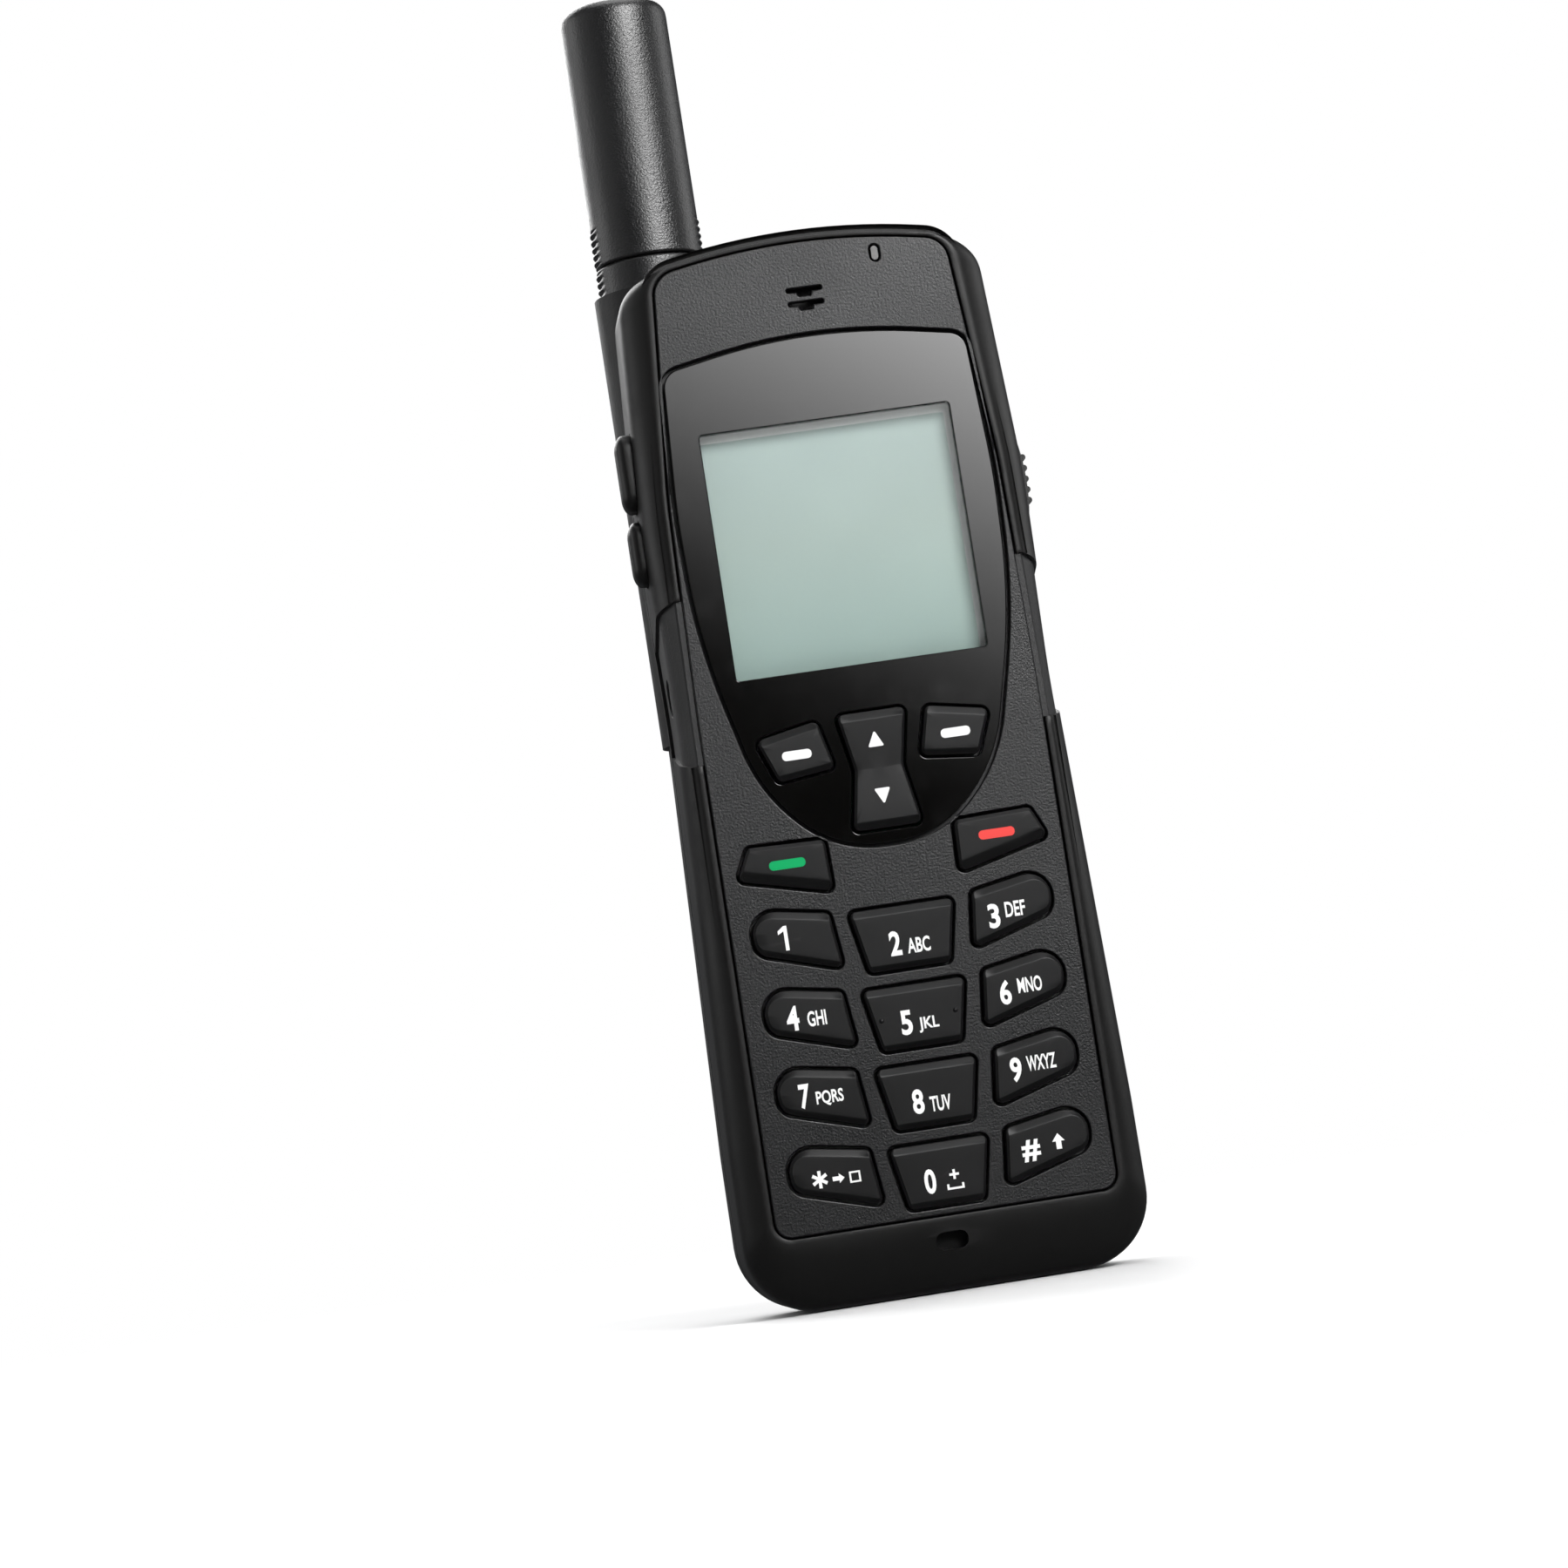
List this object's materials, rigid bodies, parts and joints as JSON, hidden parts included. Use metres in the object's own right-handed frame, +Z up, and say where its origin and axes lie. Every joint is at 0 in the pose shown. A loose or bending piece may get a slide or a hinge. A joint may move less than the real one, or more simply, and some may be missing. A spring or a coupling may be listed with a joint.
{
  "type": "satellite phone",
  "caption": "Handheld satellite phone with a thick extendable antenna, telephone keypad, rocker key, grey display under a U-shaped lens and soft-touch bumpers.",
  "frame": {"origin": "middle of the flat bottom end, halfway through the body's depth between the front panel and the back", "axes": "+Z up along the handset towards the antenna, +X to the right as seen from the keypad, the keypad faces -Y"},
  "size_m": [0.0563, 0.031, 0.1834],
  "materials": {
    "panel_plastic": "fine moulded grain, charcoal",
    "soft_touch": "satin soft-touch overmould",
    "case_plastic": "fine moulded grain, black",
    "lens_clear": "clear, polished",
    "lens_print": "gloss black print under the lens",
    "display_glass": "unlit grey-green liquid crystal",
    "key_plastic": "satin charcoal key caps",
    "antenna_plastic": "fine grain black",
    "cover_rubber": "satin black rubber",
    "battery_plastic": "fine grain black",
    "metal": "plain",
    "gold": "plated",
    "board": "green solder resist",
    "magnesium": "as cast",
    "light_plastic": "milky white",
    "silicone": "translucent grey"
  },
  "bodies": {
    "handset": {"front_panel": "panel_plastic", "display_lens": "lens_clear", "upper_bumper": "soft_touch", "lower_bumper": "soft_touch", "front_case": "case_plastic", "rear_case": "case_plastic", "battery_pack": "battery_plastic", "headset_jack": "metal", "lanyard_pin": "metal", "lens_mask": "lens_print", "lcd_module": "display_glass", "backlight_panel": "light_plastic", "chassis_frame": "magnesium", "main_board": "board", "keypad_board": "board", "key_domes": "metal", "keypad_membrane": "silicone", "earpiece_speaker": "metal", "ringer_speaker": "metal", "microphone": "metal", "led_light_pipe": "light_plastic", "vibration_motor": "metal", "shield_cans": "metal", "case_gaskets": "silicone", "housing_screws": "metal", "battery_terminals": "gold", "battery_contacts": "gold", "sim_card": "light_plastic", "sim_holder": "metal", "antenna_contact": "gold", "usb_socket": "metal", "power_jack": "metal", "antenna_port": "gold"},
    "key_1": {"key_1": "key_plastic"},
    "key_2": {"key_2": "key_plastic"},
    "key_3": {"key_3": "key_plastic"},
    "key_4": {"key_4": "key_plastic"},
    "key_5": {"key_5": "key_plastic"},
    "key_6": {"key_6": "key_plastic"},
    "key_7": {"key_7": "key_plastic"},
    "key_8": {"key_8": "key_plastic"},
    "key_9": {"key_9": "key_plastic"},
    "key_star": {"key_star": "key_plastic"},
    "key_0": {"key_0": "key_plastic"},
    "key_hash": {"key_hash": "key_plastic"},
    "send_key": {"send_key": "key_plastic"},
    "end_key": {"end_key": "key_plastic"},
    "soft_key_left": {"soft_key_left": "key_plastic"},
    "soft_key_right": {"soft_key_right": "key_plastic"},
    "nav_key": {"nav_key": "key_plastic"},
    "volume_up_key": {"volume_up_key": "cover_rubber"},
    "volume_down_key": {"volume_down_key": "cover_rubber"},
    "power_key": {"power_key": "key_plastic"},
    "side_port_cover": {"side_port_cover": "cover_rubber"},
    "bottom_port_cover": {"bottom_port_cover": "cover_rubber"},
    "battery_latch": {"battery_latch": "key_plastic"},
    "antenna_base": {"antenna_base": "antenna_plastic"},
    "antenna_sleeve": {"antenna_sleeve": "antenna_plastic", "antenna_element": "gold"}
  },
  "joints": [
    {"name": "key_1_press", "type": "slide", "parent": "handset", "child": "key_1", "axis": [0, 1, 0], "range_m": [0, 0.0005], "stiffness_N_per_m": 1500},
    {"name": "key_2_press", "type": "slide", "parent": "handset", "child": "key_2", "axis": [0, 1, 0], "range_m": [0, 0.0005], "stiffness_N_per_m": 1500},
    {"name": "key_3_press", "type": "slide", "parent": "handset", "child": "key_3", "axis": [0, 1, 0], "range_m": [0, 0.0005], "stiffness_N_per_m": 1500},
    {"name": "key_4_press", "type": "slide", "parent": "handset", "child": "key_4", "axis": [0, 1, 0], "range_m": [0, 0.0005], "stiffness_N_per_m": 1500},
    {"name": "key_5_press", "type": "slide", "parent": "handset", "child": "key_5", "axis": [0, 1, 0], "range_m": [0, 0.0005], "stiffness_N_per_m": 1500},
    {"name": "key_6_press", "type": "slide", "parent": "handset", "child": "key_6", "axis": [0, 1, 0], "range_m": [0, 0.0005], "stiffness_N_per_m": 1500},
    {"name": "key_7_press", "type": "slide", "parent": "handset", "child": "key_7", "axis": [0, 1, 0], "range_m": [0, 0.0005], "stiffness_N_per_m": 1500},
    {"name": "key_8_press", "type": "slide", "parent": "handset", "child": "key_8", "axis": [0, 1, 0], "range_m": [0, 0.0005], "stiffness_N_per_m": 1500},
    {"name": "key_9_press", "type": "slide", "parent": "handset", "child": "key_9", "axis": [0, 1, 0], "range_m": [0, 0.0005], "stiffness_N_per_m": 1500},
    {"name": "key_star_press", "type": "slide", "parent": "handset", "child": "key_star", "axis": [0, 1, 0], "range_m": [0, 0.0005], "stiffness_N_per_m": 1500},
    {"name": "key_0_press", "type": "slide", "parent": "handset", "child": "key_0", "axis": [0, 1, 0], "range_m": [0, 0.0005], "stiffness_N_per_m": 1500},
    {"name": "key_hash_press", "type": "slide", "parent": "handset", "child": "key_hash", "axis": [0, 1, 0], "range_m": [0, 0.0005], "stiffness_N_per_m": 1500},
    {"name": "send_press", "type": "slide", "parent": "handset", "child": "send_key", "axis": [0, 1, 0], "range_m": [0, 0.0005], "stiffness_N_per_m": 1500},
    {"name": "end_press", "type": "slide", "parent": "handset", "child": "end_key", "axis": [0, 1, 0], "range_m": [0, 0.0005], "stiffness_N_per_m": 1500},
    {"name": "soft_key_left_press", "type": "slide", "parent": "handset", "child": "soft_key_left", "axis": [0, 1, 0], "range_m": [0, 0.0005], "stiffness_N_per_m": 1500},
    {"name": "soft_key_right_press", "type": "slide", "parent": "handset", "child": "soft_key_right", "axis": [0, 1, 0], "range_m": [0, 0.0005], "stiffness_N_per_m": 1500},
    {"name": "nav_rock", "type": "hinge", "parent": "handset", "child": "nav_key", "pos_m": [0, -0.011, 0.0704], "axis": [1, 0, 0], "range_deg": [-2.5, 2.5], "stiffness_Nm_per_rad": 0.2},
    {"name": "volume_up_press", "type": "slide", "parent": "handset", "child": "volume_up_key", "axis": [1, 0, 0], "range_m": [0, 0.0005], "stiffness_N_per_m": 1500},
    {"name": "volume_down_press", "type": "slide", "parent": "handset", "child": "volume_down_key", "axis": [1, 0, 0], "range_m": [0, 0.0005], "stiffness_N_per_m": 1500},
    {"name": "power_press", "type": "slide", "parent": "handset", "child": "power_key", "axis": [0, 0, -1], "range_m": [0, 0.0005], "stiffness_N_per_m": 1500},
    {"name": "antenna_slide", "type": "slide", "parent": "handset", "child": "antenna_base", "axis": [0, 0, -1], "range_m": [0, 0.038]},
    {"name": "antenna_swivel", "type": "hinge", "parent": "antenna_base", "child": "antenna_sleeve", "pos_m": [-0.01835, 0.006, 0.1465], "axis": [0, 0, 1], "range_deg": [-90, 90]},
    {"name": "side_cover_hinge", "type": "hinge", "parent": "handset", "child": "side_port_cover", "pos_m": [0.0269, 0.00725, 0.108], "axis": [0, 0, 1], "range_deg": [0, 100]},
    {"name": "bottom_cover_hinge", "type": "hinge", "parent": "handset", "child": "bottom_port_cover", "pos_m": [0.001, 0.00625, 0], "axis": [1, 0, 0], "range_deg": [0, 100]},
    {"name": "latch_slide", "type": "slide", "parent": "handset", "child": "battery_latch", "axis": [0, 0, 1], "range_m": [0, 0.0025], "stiffness_N_per_m": 300, "springref_m": -0.001}
  ]
}
